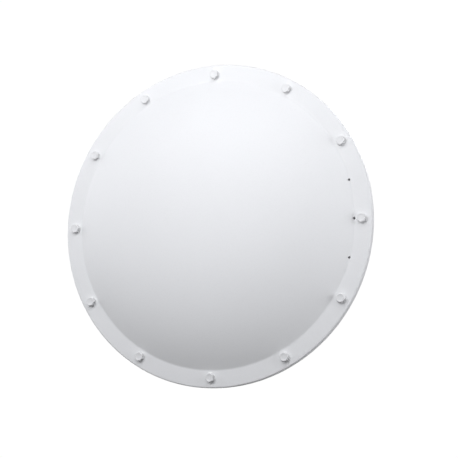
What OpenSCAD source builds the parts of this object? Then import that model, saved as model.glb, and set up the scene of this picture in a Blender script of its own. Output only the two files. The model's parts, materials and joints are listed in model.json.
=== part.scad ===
// Parabolic point-to-point dish antenna with a bolted radome and a pole mount.
// Millimetres. The dish looks along -Y, +Z is up, the pole runs along Z through the origin.

/* [Radome] */

// radius of the whole round front
rim_r = 325; // [150:5:900]
// height of the dome over its flange
dome_h = 48; // [30:2:120]
// how much steeper the dome gets towards its foot: 0 is a plain parabola
dome_edge = 0.6; // [0:0.05:0.9]
// radius where the dome meets its flange
root_r = 290; // [120:2:850]
// wall of the radome
radome_t = 4; // [2:0.5:8]
// how far the outer edge is turned back
lip_d = 14; // [8:1:30]
// radius of the rounded outer edge
lip_round = 3; // [1:0.5:4]
// radius of the fillet at the foot of the dome
root_round = 10; // [2:0.5:12]
// bolts round the radome
rim_bolts = 12; // [6:1:24]
// radius of the circle they stand on
rim_bolt_r = 304.5; // [140:0.5:880]
// radius of a drain hole
drain_r = 2.4; // [1.5:0.1:4]

/* [Reflector] */

// focal length
focal = 158; // [80:2:500]
// sheet thickness along the axis
dish_t = 2.5; // [1.5:0.5:5]
// thickness of the rubber between radome and reflector
gasket_t = 3; // [1.5:0.5:6]
// radius of the flat pad in the middle
pad_r = 85; // [60:1:120]
// radius where the bowl meets its flat rim
dish_edge_r = 286; // [130:2:860]
// outer radius of the reflector's rim
dish_rim_r = 318; // [140:1:890]

/* [Hub and feed] */

// thickness of the hub plate
hub_t = 8; // [5:1:15]
// outer radius of the feed's waveguide tube
tube_r = 20; // [8:0.5:30]
// inner radius of the same tube
tube_bore_r = 17; // [6:0.5:27]
// radius of the small reflector in front of the tube
splash_r = 42; // [20:1:60]
// half width of the square transducer
block_half = 25; // [20:1:30]
// radius of the coaxial socket's thread
port_r = 7.94; // [5:0.01:10]

/* [Mount] */

// radius of the pole the clamp is made for
pole_r = 57.2; // [25:0.1:80]
// distance from the pole's axis to the pan pivot
pan_y = 112; // [100:1:160]
// distance from the pole's axis to the tilt pivot
tilt_y = 248; // [235:1:320]
// tilt each way
tilt_range = 15; // [5:1:15]
// pan each way
pan_range = 10; // [5:1:12]
// plate thickness of the brackets
plate_t = 6; // [4:1:10]
// inside width between the two ears on the dish
ear_gap = 150; // [130:2:200]
// height of the jack screws over and under the tilt pivot
jack_z = 36; // [34:1:40]
// gap between plates that turn on each other
slip = 0.3; // [0.1:0.05:0.5]

/* [Hidden] */

$fn = 96;
lip_t = 4;
flange_z = -radome_t - gasket_t;
arc_steps = 36;

// reflector, along the axis from the flange's front face
vertex_z = flange_z - dish_edge_r * dish_edge_r / (4 * focal);
pad_z = vertex_z + pad_r * pad_r / (4 * focal);

// planes across the boresight, as distances along Y
ear_t = 5;
base_t = 5;
base_back = -tilt_y - 17;
hub_back = base_back - base_t;
pad_back = hub_back - hub_t;
rim_y = pad_back - dish_t + pad_z;
web_front = -tilt_y + 70;
web_back = web_front + plate_t;
pole_web_back = -pole_r - 12.8;
pole_web_front = pole_web_back - plate_t;

// hub
hub_r = 79;
hub_bolt_r = 70;
hub_hole_r = 5.3;
base_hole_r = 54;
feed_flange_r = 40;
feed_flange_t = 5;
ring_hole_r = 30;
ring_r = 52;
ring_lip_t = 5;
ring_screw_r = 46.5;
run = 0.05;

// feed, along the axis from the radome flange's front face
hub_back_z = rim_y - hub_back;
flange_back_z = hub_back_z - feed_flange_t;
focus_z = vertex_z + focal;
splash_z = focus_z + 3;
mouth_z = focus_z - 37;
block_front = -tilt_y + 2;
block_back = block_front + 39;
cover_t = 5;
port_y = block_front + 19.5;
port_flange_t = 3;
port_len = 17;

// ears and cheeks
lock_arm = 52;
ear_end_r = 64;
ear_half = 46;
cheek_x = ear_gap / 2 + ear_t + slip;
cheek_half = 66;
jack_x = 48;
m12 = 6;
m10 = 5;
m12_af = 18;
m10_af = 16;

// pole clamp
arm_z = 52;
pan_arm = 42;
jaw_z0 = 30;
jaw_z1 = 60;
clamp_x = 78;
clamp_z = 45;

white = [0.94, 0.94, 0.95];
zinc = [0.66, 0.68, 0.70];
steel = [0.78, 0.79, 0.80];
alloy = [0.84, 0.85, 0.86];
rubber = [0.12, 0.12, 0.13];
ptfe = [0.97, 0.96, 0.92];
brass = [0.85, 0.70, 0.38];

// the dish's own frame: z along the boresight from the radome flange's front face
module dish_frame() {
    translate([0, rim_y, 0])
        rotate([90, 0, 0])
            children();
}

module ring_of(count, radius, start = 0) {
    for (i = [0:count - 1])
        rotate([0, 0, start + i * 360 / count])
            translate([radius, 0, 0])
                children();
}

// upright plate across X: the flat shape is drawn in world Y and Z
module across_x(x0, thick) {
    translate([x0, 0, 0])
        rotate([90, 0, 90])
            linear_extrude(thick)
                children();
}

// upright plate across Y: the flat shape is drawn in world X and Z
module across_y(y0, thick) {
    translate([0, y0 + thick, 0])
        rotate([90, 0, 0])
            linear_extrude(thick)
                children();
}

module both_x() {
    children();
    mirror([1, 0, 0])
        children();
}

module both_z() {
    children();
    mirror([0, 0, 1])
        children();
}

// curved slot about the origin, centred on the X axis, cut through z = 0 to thick
module arc_slot(radius, half_angle, width, thick) {
    rotate([0, 0, -half_angle])
        rotate_extrude(angle = 2 * half_angle)
            translate([radius - width / 2, 0])
                square([width, thick]);
    for (end = [-half_angle, half_angle])
        rotate([0, 0, end])
            translate([radius, 0, 0])
                cylinder(r = width / 2, h = thick);
}

// chamfered hexagon, flat side down on z = 0
module hex(af, height) {
    corner_r = af / sqrt(3);
    intersection() {
        cylinder(r = corner_r, h = height, $fn = 6);
        cylinder(r1 = corner_r + height, r2 = af / 2 - 0.2, h = height + corner_r - af / 2 + 0.2);
    }
}

// bolt along -z with its head's seat on z = 0
module bolt(shank_r, length, af, head_h, flange_r = 0, flange_t = 0) {
    if (flange_r > 0)
        cylinder(r = flange_r, h = flange_t);
    translate([0, 0, flange_t])
        hex(af, head_h);
    translate([0, 0, -length])
        cylinder(r = shank_r, h = length);
}

module nut(hole_r, af, height) {
    difference() {
        hex(af, height);
        translate([0, 0, -1])
            cylinder(r = hole_r, h = height + 2);
    }
}

// ---- radome and reflector ----

// height of the dome over its flange at a radius
function dome_z(r) =
    let (share = pow(r / root_r, 2))
    dome_h * (1 - (1 - dome_edge) * share - dome_edge * share * share);

// where the fillet of radius root_round touches the dome and the flange
root_slope = atan(dome_h / root_r * (2 + 2 * dome_edge));
root_touch = root_round * tan(root_slope / 2);
root_c_r = root_r + root_touch;

function dome_outside() =
    let (last = root_r - root_touch * cos(root_slope))
    [for (i = [0:arc_steps])
        let (r = last * i / arc_steps)
        [r, dome_z(r)]];

function root_arc() =
    [for (i = [1:6])
        let (a = root_slope * (1 - i / 6))
        [root_c_r - root_round * sin(a), root_round - root_round * cos(a)]];

function lip_arc() =
    [for (i = [0:6])
        let (a = 90 - 15 * i)
        [rim_r - lip_round + lip_round * cos(a), -lip_round + lip_round * sin(a)]];

function dome_inside() =
    [for (i = [arc_steps:-1:0])
        let (r = (root_r - 2) * i / arc_steps)
        [r, dome_z(r) - radome_t]];

module radome_shell() {
    color(white)
        dish_frame()
            difference() {
                rotate_extrude()
                    polygon(concat(
                        dome_outside(),
                        root_arc(),
                        lip_arc(),
                        [[rim_r, -lip_d], [rim_r - lip_t, -lip_d], [rim_r - lip_t, -radome_t]],
                        [[root_r, -radome_t]],
                        dome_inside()));
                ring_of(rim_bolts, rim_bolt_r)
                    translate([0, 0, -lip_d])
                        cylinder(r = m10 + 0.5, h = 2 * lip_d);
                for (a = [-15, 0, 15])
                    rotate([0, 0, a])
                        translate([root_r - 0.5, 0, -lip_d])
                            cylinder(r = drain_r, h = 3 * lip_d);
            }
}

module radome_gasket() {
    color(rubber)
        dish_frame()
            translate([0, 0, flange_z])
                difference() {
                    cylinder(r = dish_rim_r, h = gasket_t);
                    translate([0, 0, -1])
                        cylinder(r = root_r + 4, h = gasket_t + 2);
                    ring_of(rim_bolts, rim_bolt_r)
                        translate([0, 0, -1])
                            cylinder(r = m10 + 0.5, h = gasket_t + 2);
                }
}

function dish_arc(drop) =
    [for (i = [0:arc_steps])
        let (r = pad_r + (dish_edge_r - pad_r) * i / arc_steps)
        [r, vertex_z + r * r / (4 * focal) - drop]];

function dish_back() =
    let (arc = dish_arc(dish_t))
    [for (i = [arc_steps:-1:0]) arc[i]];

module reflector_dish() {
    color(white)
        dish_frame()
            difference() {
                rotate_extrude()
                    polygon(concat(
                        [[tube_r + 6, pad_z - dish_t], [tube_r + 6, pad_z]],
                        dish_arc(0),
                        [[dish_rim_r, flange_z], [dish_rim_r, flange_z - dish_t]],
                        dish_back()));
                ring_of(rim_bolts, rim_bolt_r)
                    translate([0, 0, flange_z - 2 * dish_t])
                        cylinder(r = m10 + 0.5, h = 4 * dish_t);
                ring_of(6, hub_bolt_r, 30)
                    translate([0, 0, pad_z - 2 * dish_t])
                        cylinder(r = hub_hole_r, h = 4 * dish_t);
            }
}

washer_t = 2;

module radome_bolts() {
    color(white)
        dish_frame()
            ring_of(rim_bolts, rim_bolt_r)
                translate([0, 0, washer_t])
                    difference() {
                        bolt(m10, 30, m10_af, 6.4);
                        translate([0, 0, 6.4])
                            cylinder(r1 = 0.1, r2 = 5.2, h = 0.5, center = true);
                    }
}

module bolt_washers() {
    color(white)
        dish_frame()
            ring_of(rim_bolts, rim_bolt_r)
                difference() {
                    cylinder(r = 9.8, h = washer_t);
                    translate([0, 0, -1])
                        cylinder(r = m10 + 0.3, h = washer_t + 2);
                }
}

module rim_nuts() {
    color(steel)
        dish_frame()
            ring_of(rim_bolts, rim_bolt_r)
                translate([0, 0, flange_z - dish_t])
                    mirror([0, 0, 1]) {
                        difference() {
                            cylinder(r = 10.5, h = 2);
                            translate([0, 0, -1])
                                cylinder(r = m10, h = 4);
                        }
                        translate([0, 0, 2])
                            nut(m10, m10_af, 8);
                    }
}

// ---- hub ----

module hub_plate() {
    color(zinc)
        dish_frame()
            translate([0, 0, pad_z - dish_t - hub_t])
                difference() {
                    cylinder(r = hub_r, h = hub_t);
                    translate([0, 0, -1])
                        cylinder(r = tube_r + run, h = hub_t + 2);
                    ring_of(6, hub_bolt_r, 30)
                        translate([0, 0, -1])
                            cylinder(r = hub_hole_r, h = hub_t + 2);
                    ring_of(4, ring_screw_r, 45)
                        translate([0, 0, -1])
                            cylinder(r = 2.6, h = hub_t + 2);
                }
}

module hub_bolts() {
    color(steel)
        dish_frame()
            ring_of(6, hub_bolt_r, 30)
                translate([0, 0, pad_z])
                    bolt(m10, 24, m10_af, 6.4, 11, 2);
}

module hub_nuts() {
    color(steel)
        dish_frame()
            ring_of(6, hub_bolt_r, 30)
                translate([0, 0, pad_z - dish_t - hub_t - base_t])
                    mirror([0, 0, 1])
                        nut(m10, m10_af, 8);
}

// ---- bracket on the dish ----

module bracket_base() {
    color(zinc)
        across_y(hub_back, base_t)
            difference() {
                square([ear_gap + 2 * ear_t, 168], center = true);
                circle(r = base_hole_r);
                ring_of(6, hub_bolt_r, 30)
                    circle(r = hub_hole_r);
            }
}

module bracket_ears() {
    color(zinc)
        both_x()
            across_x(ear_gap / 2, ear_t)
                difference() {
                    intersection() {
                        translate([base_back, -ear_half])
                            square([ear_end_r + 17, 2 * ear_half]);
                        translate([-tilt_y, 0])
                            circle(r = ear_end_r);
                    }
                    translate([-tilt_y, 0])
                        circle(r = m12 + run);
                    translate([-tilt_y + lock_arm, 0])
                        circle(r = m10 + 0.1);
                }
}

module push_bars() {
    color(zinc)
        both_z()
            translate([-ear_gap / 2, -tilt_y - 6, ear_half - 16])
                cube([ear_gap, 6, 16]);
}

module lock_bolts() {
    color(steel)
        both_x()
            translate([cheek_x + plate_t + slip, -tilt_y + lock_arm, 0])
                rotate([0, 90, 0])
                    bolt(m10, 22, m10_af, 6.4, 12, 2);
}

module lock_nuts() {
    color(steel)
        both_x()
            translate([ear_gap / 2, -tilt_y + lock_arm, 0])
                rotate([0, -90, 0])
                    nut(m10, m10_af, 8);
}

// ---- feed ----

module feed_tube() {
    color(alloy)
        dish_frame()
            translate([0, 0, flange_back_z])
                difference() {
                    cylinder(r = tube_r, h = mouth_z - flange_back_z);
                    translate([0, 0, -1])
                        cylinder(r = tube_bore_r, h = mouth_z - flange_back_z + 2);
                }
}

module feed_dielectric() {
    color(ptfe)
        dish_frame()
            rotate_extrude()
                polygon([
                    [0, mouth_z - 25],
                    [tube_bore_r * 0.55, mouth_z - 10],
                    [tube_bore_r, mouth_z - 10],
                    [tube_bore_r, mouth_z],
                    [tube_r, mouth_z],
                    [splash_r - 2, splash_z],
                    [0, splash_z - 12]]);
}

module subreflector() {
    color(alloy)
        dish_frame()
            rotate_extrude()
                polygon([
                    [0, splash_z - 12],
                    [splash_r - 2, splash_z],
                    [splash_r, splash_z],
                    [splash_r, splash_z + 4],
                    [0, splash_z + 4]]);
}

module feed_flange() {
    color(alloy)
        dish_frame()
            translate([0, 0, flange_back_z])
                difference() {
                    cylinder(r = feed_flange_r, h = feed_flange_t);
                    translate([0, 0, -1])
                        cylinder(r = tube_r, h = feed_flange_t + 2);
                    translate([0, 0, feed_flange_t - 3])
                        difference() {
                            cylinder(r = 28.2, h = 4);
                            translate([0, 0, -1])
                                cylinder(r = 24.8, h = 6);
                        }
                }
}

module feed_seal() {
    color(rubber)
        dish_frame()
            translate([0, 0, hub_back_z - 1.6])
                rotate_extrude()
                    translate([26.5, 0])
                        circle(r = 1.4, $fn = 48);
}

module clamp_ring() {
    color(zinc)
        dish_frame()
            translate([0, 0, flange_back_z - ring_lip_t])
                difference() {
                    cylinder(r = ring_r, h = ring_lip_t + feed_flange_t);
                    translate([0, 0, -1])
                        cylinder(r = ring_hole_r, h = ring_lip_t + feed_flange_t + 2);
                    translate([0, 0, ring_lip_t - 0.1])
                        cylinder(r = feed_flange_r + 0.1, h = feed_flange_t + 2);
                    ring_of(4, ring_screw_r, 45)
                        translate([0, 0, -1])
                            cylinder(r = 2.6, h = 2 * ring_lip_t + feed_flange_t);
                }
}

module clamp_screws() {
    color(steel)
        dish_frame()
            ring_of(4, ring_screw_r, 45)
                translate([0, 0, flange_back_z - ring_lip_t])
                    mirror([0, 0, 1])
                        bolt(2.5, 16, 8, 3.5);
}

module transducer_body() {
    neck_z = flange_back_z;
    block_z = rim_y - block_front;
    color(white)
        difference() {
            union() {
                dish_frame()
                    translate([0, 0, block_z - 1])
                        cylinder(r = 28, h = neck_z - block_z + 1);
                translate([-block_half, block_front, -block_half])
                    cube([2 * block_half, block_back - block_front, 2 * block_half]);
            }
            dish_frame()
                translate([0, 0, rim_y - block_back - 1])
                    cylinder(r = tube_bore_r, h = block_back - base_back + 20);
            translate([0, port_y, -2 * block_half])
                cylinder(r = 4.1, h = 2 * block_half);
            cover_holes()
                cylinder(r = 2.1, h = 14);
            port_holes()
                translate([0, 0, -7])
                    cylinder(r = 1.55, h = 8);
        }
}

// children on the four cover screws, z pointing into the block from its back
module cover_holes() {
    for (x = [-1, 1])
        for (z = [-1, 1])
            translate([x * (block_half - 5), block_back, z * (block_half - 5)])
                rotate([90, 0, 0])
                    children();
}

module transducer_cover() {
    color(white)
        across_y(block_back, cover_t)
            difference() {
                square(2 * block_half, center = true);
                for (x = [-1, 1])
                    for (z = [-1, 1])
                        translate([x * (block_half - 5), z * (block_half - 5)])
                            circle(r = 2.1);
            }
}

module cover_screws() {
    color(steel)
        cover_holes()
            translate([0, 0, -cover_t])
                mirror([0, 0, 1])
                    bolt(2, 16, 7, 2.8);
}

// children on the socket, z pointing down out of the transducer's lower face
module at_port() {
    translate([0, port_y, -block_half])
        mirror([0, 0, 1])
            children();
}

// children on the socket's four screws, z pointing down out of the lower face
module port_holes() {
    at_port()
        for (x = [-9.1, 9.1])
            for (y = [-9.1, 9.1])
                translate([x, y, 0])
                    children();
}

module port_shell() {
    color(steel)
        difference() {
            at_port()
                difference() {
                    union() {
                        translate([-12.7, -12.7, 0])
                            cube([25.4, 25.4, port_flange_t]);
                        cylinder(r = port_r, h = port_flange_t + port_len);
                    }
                    translate([0, 0, -1])
                        cylinder(r = 4.1, h = port_flange_t + 6);
                    translate([0, 0, port_flange_t + 4])
                        cylinder(r = 5, h = port_len);
                }
            port_holes()
                translate([0, 0, -1])
                    cylinder(r = 1.6, h = port_flange_t + 2);
        }
}

module port_screws() {
    color(steel)
        port_holes()
            translate([0, 0, port_flange_t])
                bolt(1.5, 9, 5.5, 2);
}

module port_insulator() {
    color(ptfe)
        at_port()
            translate([0, 0, tube_bore_r + 1 - block_half])
                difference() {
                    cylinder(r = 4.1, h = block_half - tube_bore_r - 1 + port_flange_t + 4);
                    translate([0, 0, -1])
                        cylinder(r = 1.5, h = block_half);
                }
}

module port_pin() {
    color(brass)
        at_port()
            translate([0, 0, 7 - block_half])
                cylinder(r = 1.5, h = block_half - 7 + port_flange_t + 12);
}

// ---- yoke ----

module yoke_web() {
    color(zinc)
        across_y(web_front, plate_t)
            difference() {
                square([2 * (cheek_x + plate_t), 2 * cheek_half], center = true);
                for (z = [-jack_z, jack_z])
                    translate([jack_x, z])
                        circle(r = m12 + 0.3);
            }
}

module yoke_cheeks() {
    reach = web_front + tilt_y;
    color(zinc)
        both_x()
            difference() {
                across_x(cheek_x, plate_t)
                    difference() {
                        translate([-tilt_y, 0])
                            union() {
                                circle(r = 24);
                                polygon([[0, 24], [0, -24], [reach, -cheek_half], [reach, cheek_half]]);
                            }
                        translate([-tilt_y, 0])
                            circle(r = m12 + 0.1);
                    }
                translate([cheek_x - 1, -tilt_y, 0])
                    rotate([90, 0, 90])
                        arc_slot(lock_arm, tilt_range, 2 * m10 + 1.5, plate_t + 2);
            }
}

module yoke_arms() {
    color(zinc)
        both_z()
            difference() {
                translate([-58, web_back, arm_z + plate_t + slip])
                    cube([116, -pan_y + 20 - web_back, plate_t]);
                translate([0, -pan_y, arm_z])
                    cylinder(r = m12 + run, h = 3 * plate_t);
                for (side = [0, 180])
                    translate([0, -pan_y, arm_z + plate_t])
                        rotate([0, 0, side])
                            arc_slot(pan_arm, pan_range, 2 * m10 + 1.5, plate_t + 2);
            }
}

module pivot_bolts() {
    color(steel)
        both_x()
            translate([cheek_x + plate_t, -tilt_y, 0])
                rotate([0, 90, 0])
                    bolt(m12, 23, m12_af, 7.5, 13.5, 2.5);
}

module pivot_nuts() {
    color(steel)
        both_x()
            translate([ear_gap / 2 - slip, -tilt_y, 0])
                rotate([0, -90, 0])
                    nut(m12, m12_af, 10);
}

module jack_nuts() {
    color(steel)
        for (z = [-jack_z, jack_z])
            translate([jack_x, web_back, z])
                rotate([-90, 0, 0])
                    nut(m12 + run, m12_af, 10);
}

// pushing screw: its round tip stops just short of the bar's rear face
module jack_screw(z) {
    tip_gap = 0.45;
    head_y = web_back + 22;
    color(steel)
        translate([jack_x, -tilt_y + tip_gap, z]) {
            translate([0, m12, 0])
                sphere(r = m12);
            rotate([-90, 0, 0]) {
                translate([0, 0, m12])
                    cylinder(r = m12, h = head_y + tilt_y - m12 - tip_gap);
                translate([0, 0, head_y + tilt_y - tip_gap])
                    hex(m12_af, 8);
            }
        }
}

module upper_jack_screw() {
    jack_screw(jack_z);
}

module lower_jack_screw() {
    jack_screw(-jack_z);
}

// ---- pole bracket and clamp ----

module pole_web() {
    color(zinc)
        across_y(pole_web_front, plate_t)
            difference() {
                square([2 * clamp_x + 28, 2 * jaw_z1 + 4], center = true);
                for (x = [-clamp_x, clamp_x])
                    for (z = [-clamp_z, clamp_z])
                        translate([x, z])
                            circle(r = m12 + 0.2);
                translate([-clamp_x, 0])
                    circle(r = 4.1);
            }
}

module pole_arms() {
    color(zinc)
        both_z()
            translate([0, 0, arm_z])
                linear_extrude(plate_t)
                    difference() {
                        union() {
                            translate([0, -pan_y])
                                circle(r = 56);
                            translate([-56, -pan_y])
                                square([112, pole_web_front + pan_y]);
                        }
                        translate([-60, pole_web_front])
                            square([120, 60]);
                        translate([0, -pan_y])
                            circle(r = m12 + 0.1);
                        for (x = [-pan_arm, pan_arm])
                            translate([x, -pan_y])
                                circle(r = m10 + 0.1);
                    }
}

module swivel_bolts() {
    color(steel)
        both_z()
            translate([0, -pan_y, arm_z + 2 * plate_t + 2 * slip])
                bolt(m12, 24, m12_af, 7.5, 13.5, 2.5);
}

module swivel_nuts() {
    color(steel)
        both_z()
            translate([0, -pan_y, arm_z])
                mirror([0, 0, 1])
                    nut(m12, m12_af, 10);
}

module pan_lock_bolts() {
    color(steel)
        both_z()
            for (x = [-pan_arm, pan_arm])
                translate([x, -pan_y, arm_z + 2 * plate_t + 2 * slip])
                    bolt(m10, 22, m10_af, 6.4, 12, 2);
}

module pan_lock_nuts() {
    color(steel)
        both_z()
            for (x = [-pan_arm, pan_arm])
                translate([x, -pan_y, arm_z])
                    mirror([0, 0, 1])
                        nut(m10, m10_af, 8);
}

module pole_saddles() {
    color(alloy)
        both_z()
            translate([0, 0, jaw_z0])
                linear_extrude(jaw_z1 - jaw_z0)
                    difference() {
                        translate([-50, pole_web_back])
                            square([100, -32 - pole_web_back]);
                        circle(r = pole_r);
                    }
}

module rear_jaws() {
    color(alloy)
        both_z()
            translate([0, 0, jaw_z0])
                difference() {
                    linear_extrude(jaw_z1 - jaw_z0)
                        difference() {
                            union() {
                                translate([-50, 32])
                                    square([100, pole_r - 17]);
                                translate([-clamp_x - 14, pole_r + 3])
                                    square([2 * clamp_x + 28, 12]);
                            }
                            circle(r = pole_r);
                        }
                    for (x = [-clamp_x, clamp_x])
                        translate([x, pole_r - 5, clamp_z - jaw_z0])
                            rotate([-90, 0, 0])
                                cylinder(r = m12 + 0.2, h = 30);
                }
}

module clamp_bolts() {
    color(steel)
        for (x = [-clamp_x, clamp_x])
            for (z = [-clamp_z, clamp_z])
                translate([x, pole_web_front, z])
                    rotate([90, 0, 0])
                        bolt(m12, 175, m12_af, 7.5, 13.5, 2.5);
}

module clamp_nuts() {
    color(steel)
        for (x = [-clamp_x, clamp_x])
            for (z = [-clamp_z, clamp_z])
                translate([x, pole_r + 15, z])
                    rotate([-90, 0, 0]) {
                        difference() {
                            cylinder(r = 12, h = 2.5);
                            translate([0, 0, -1])
                                cylinder(r = m12, h = 5);
                        }
                        translate([0, 0, 2.5])
                            nut(m12, m12_af, 10);
                    }
}

module ground_screw() {
    color(brass)
        translate([-clamp_x, pole_web_front, 0])
            rotate([90, 0, 0])
                bolt(4, 22, 13, 5.3, 8.5, 1.6);
}

radome_shell();
radome_gasket();
reflector_dish();
radome_bolts();
bolt_washers();
rim_nuts();
hub_plate();
hub_bolts();
hub_nuts();
bracket_base();
bracket_ears();
push_bars();
lock_bolts();
lock_nuts();
feed_tube();
feed_dielectric();
subreflector();
feed_flange();
feed_seal();
clamp_ring();
clamp_screws();
transducer_body();
transducer_cover();
cover_screws();
port_shell();
port_screws();
port_insulator();
port_pin();
yoke_web();
yoke_cheeks();
yoke_arms();
pivot_bolts();
pivot_nuts();
jack_nuts();
upper_jack_screw();
lower_jack_screw();
pole_web();
pole_arms();
swivel_bolts();
swivel_nuts();
pan_lock_bolts();
pan_lock_nuts();
pole_saddles();
rear_jaws();
clamp_bolts();
clamp_nuts();
ground_screw();
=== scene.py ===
import json
import math
import random

import bmesh
import bpy
from mathutils import Matrix, Vector

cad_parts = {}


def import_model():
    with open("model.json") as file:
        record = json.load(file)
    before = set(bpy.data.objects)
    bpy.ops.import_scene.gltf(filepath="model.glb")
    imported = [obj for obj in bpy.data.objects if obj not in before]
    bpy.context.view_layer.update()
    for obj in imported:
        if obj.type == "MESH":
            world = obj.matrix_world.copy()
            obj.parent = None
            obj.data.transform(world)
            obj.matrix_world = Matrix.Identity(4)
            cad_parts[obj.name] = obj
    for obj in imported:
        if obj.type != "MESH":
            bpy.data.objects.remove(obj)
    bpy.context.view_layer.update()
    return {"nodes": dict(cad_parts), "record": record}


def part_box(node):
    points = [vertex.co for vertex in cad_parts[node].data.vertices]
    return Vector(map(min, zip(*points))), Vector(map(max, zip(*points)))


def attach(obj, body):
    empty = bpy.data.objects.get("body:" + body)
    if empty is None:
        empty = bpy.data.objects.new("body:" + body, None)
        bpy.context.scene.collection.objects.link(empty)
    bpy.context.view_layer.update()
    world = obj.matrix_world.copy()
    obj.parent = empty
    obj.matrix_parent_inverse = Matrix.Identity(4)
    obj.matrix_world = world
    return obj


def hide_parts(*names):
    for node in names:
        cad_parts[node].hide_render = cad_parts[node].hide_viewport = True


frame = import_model()

MM = 0.001

# ---- where things are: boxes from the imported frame, the rest as in part.scad ----

RIM_LO, RIM_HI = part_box("radome_shell")
RIM_R = (RIM_HI.x - RIM_LO.x) / 2
LIP_D = 14 * MM                     # the turned-back lip: depth, thickness, edge radius
LIP_T = 4 * MM
LIP_ROUND = 3 * MM
WALL = 4 * MM
RIM_Y = RIM_HI.y - LIP_D            # the radome flange's front face
DOME_H = RIM_Y - RIM_LO.y
ROOT_R = 290 * MM                   # foot of the dome
ROOT_ROUND = 10 * MM
DOME_EDGE = 0.6                     # share of the drop that grows as the radius to the 4th
RIM_BOLTS = 12
RIM_BOLT_R = 304.5 * MM
RIM_HOLE_R = 5.5 * MM
DRAIN_R = 2.4 * MM
DRAIN_AT = ROOT_R - 0.5 * MM
DRAIN_APART = 15                    # degrees
DISH_EDGE_R = 286 * MM
DISH_LO, DISH_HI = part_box("reflector_dish")
GASKET_T = 3 * MM
DISH_T = 2.5 * MM
DISH_ROUND = 0.6 * MM
DISH_RIM_R = (DISH_HI.x - DISH_LO.x) / 2
DISH_MOUTH_R = 26 * MM
DISH_HOLE_R = 5.4 * MM
PAD_R = 85 * MM
HUB_BOLTS = 6
HUB_BOLT_R = 70 * MM
FOCAL = 158 * MM
FRONT = Matrix.Translation((0, RIM_Y, 0)) @ Matrix.Rotation(math.radians(90), 4, "X")


# ---- camera ----

def add_camera():
    """The camera fitted to the bolt heads in the photo."""
    centre = Vector((0, RIM_Y + 3.6 * MM, 0))
    azimuth = math.radians(21.15)
    elevation = math.radians(-7.89)
    distance = 2.356
    aim_offset = Vector((0.0290, 0.0124, -0.0096))
    roll = math.radians(0.707)
    away = Vector((math.sin(azimuth) * math.cos(elevation),
                   -math.cos(azimuth) * math.cos(elevation),
                   math.sin(elevation)))
    aim = centre + aim_offset
    data = bpy.data.cameras.new("camera")
    data.sensor_width = 36
    data.lens = 92.81
    data.clip_end = 60
    cam = bpy.data.objects.new("camera", data)
    bpy.context.scene.collection.objects.link(cam)
    cam.location = centre + away * distance
    look = (aim - cam.location).to_track_quat("-Z", "Y").to_matrix().to_4x4()
    cam.matrix_world = (Matrix.Translation(cam.location) @ look
                        @ Matrix.Rotation(roll, 4, "Z"))
    bpy.context.scene.camera = cam


add_camera()


# ---- materials ----

class Nodes:
    """A material's node tree with short calls for the nodes used here."""

    def __init__(self, name):
        self.mat = bpy.data.materials.new(name)
        self.mat.use_nodes = True
        self.tree = self.mat.node_tree
        self.bsdf = self.tree.nodes["Principled BSDF"]
        self.coords = self.tree.nodes.new("ShaderNodeTexCoord").outputs["Object"]

    def link(self, a, b):
        self.tree.links.new(a, b)

    def new(self, kind, **values):
        node = self.tree.nodes.new(kind)
        for key, value in values.items():
            setattr(node, key, value)
        return node

    def noise(self, scale, detail=4.0, rough=0.55, source=None):
        n = self.new("ShaderNodeTexNoise")
        n.inputs["Scale"].default_value = scale
        n.inputs["Detail"].default_value = detail
        n.inputs["Roughness"].default_value = rough
        self.link(source or self.coords, n.inputs["Vector"])
        return n.outputs["Fac"]

    def voronoi(self, scale):
        n = self.new("ShaderNodeTexVoronoi")
        n.inputs["Scale"].default_value = scale
        self.link(self.coords, n.inputs["Vector"])
        return n

    def ramp(self, fac, stops):
        n = self.new("ShaderNodeValToRGB")
        elements = n.color_ramp.elements
        for e, (at, colour) in zip(elements, stops):
            e.position = at
            e.color = (*colour, 1)
        self.link(fac, n.inputs["Fac"])
        return n.outputs["Color"]

    def grey_ramp(self, fac, start, end, dark, light, tint=0.0):
        """From grey dark at start to grey light at end."""
        return self.ramp(fac, [(start, grey(dark, tint)), (end, grey(light, tint))])

    def math(self, op, a, b=0.0):
        n = self.new("ShaderNodeMath", operation=op)
        for socket, value in zip(n.inputs, (a, b)):
            if isinstance(value, (int, float)):
                socket.default_value = value
            else:
                self.link(value, socket)
        return n.outputs["Value"]

    def mix(self, fac, a, b, blend="MIX"):
        n = self.new("ShaderNodeMix", data_type="RGBA", blend_type=blend)
        if isinstance(fac, (int, float)):
            n.inputs["Factor"].default_value = fac
        else:
            self.link(fac, n.inputs["Factor"])
        for socket, value in ((n.inputs[6], a), (n.inputs[7], b)):
            if isinstance(value, tuple):
                socket.default_value = (*value, 1)
            else:
                self.link(value, socket)
        return n.outputs[2]

    def multiply(self, a, b):
        return self.mix(1.0, a, b, "MULTIPLY")

    def edges(self, low, high):
        """1 on sharp outer edges, 0 elsewhere."""
        point = self.new("ShaderNodeNewGeometry").outputs["Pointiness"]
        return self.ramp(point, [(low, (0, 0, 0)), (high, (1, 1, 1))])

    def finish(self, colour, rough, bump=None, strength=0.2, distance=0.0005, metallic=0.0):
        self.link(colour, self.bsdf.inputs["Base Color"])
        if isinstance(rough, (int, float)):
            self.bsdf.inputs["Roughness"].default_value = rough
        else:
            self.link(rough, self.bsdf.inputs["Roughness"])
        self.bsdf.inputs["Metallic"].default_value = metallic
        if bump is not None:
            b = self.new("ShaderNodeBump")
            b.inputs["Strength"].default_value = strength
            b.inputs["Distance"].default_value = distance
            self.link(bump, b.inputs["Height"])
            self.link(b.outputs["Normal"], self.bsdf.inputs["Normal"])
        return self.mat


def grey(value, tint=0.0):
    return (value * (1 - tint), value, value * (1 + tint))


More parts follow.
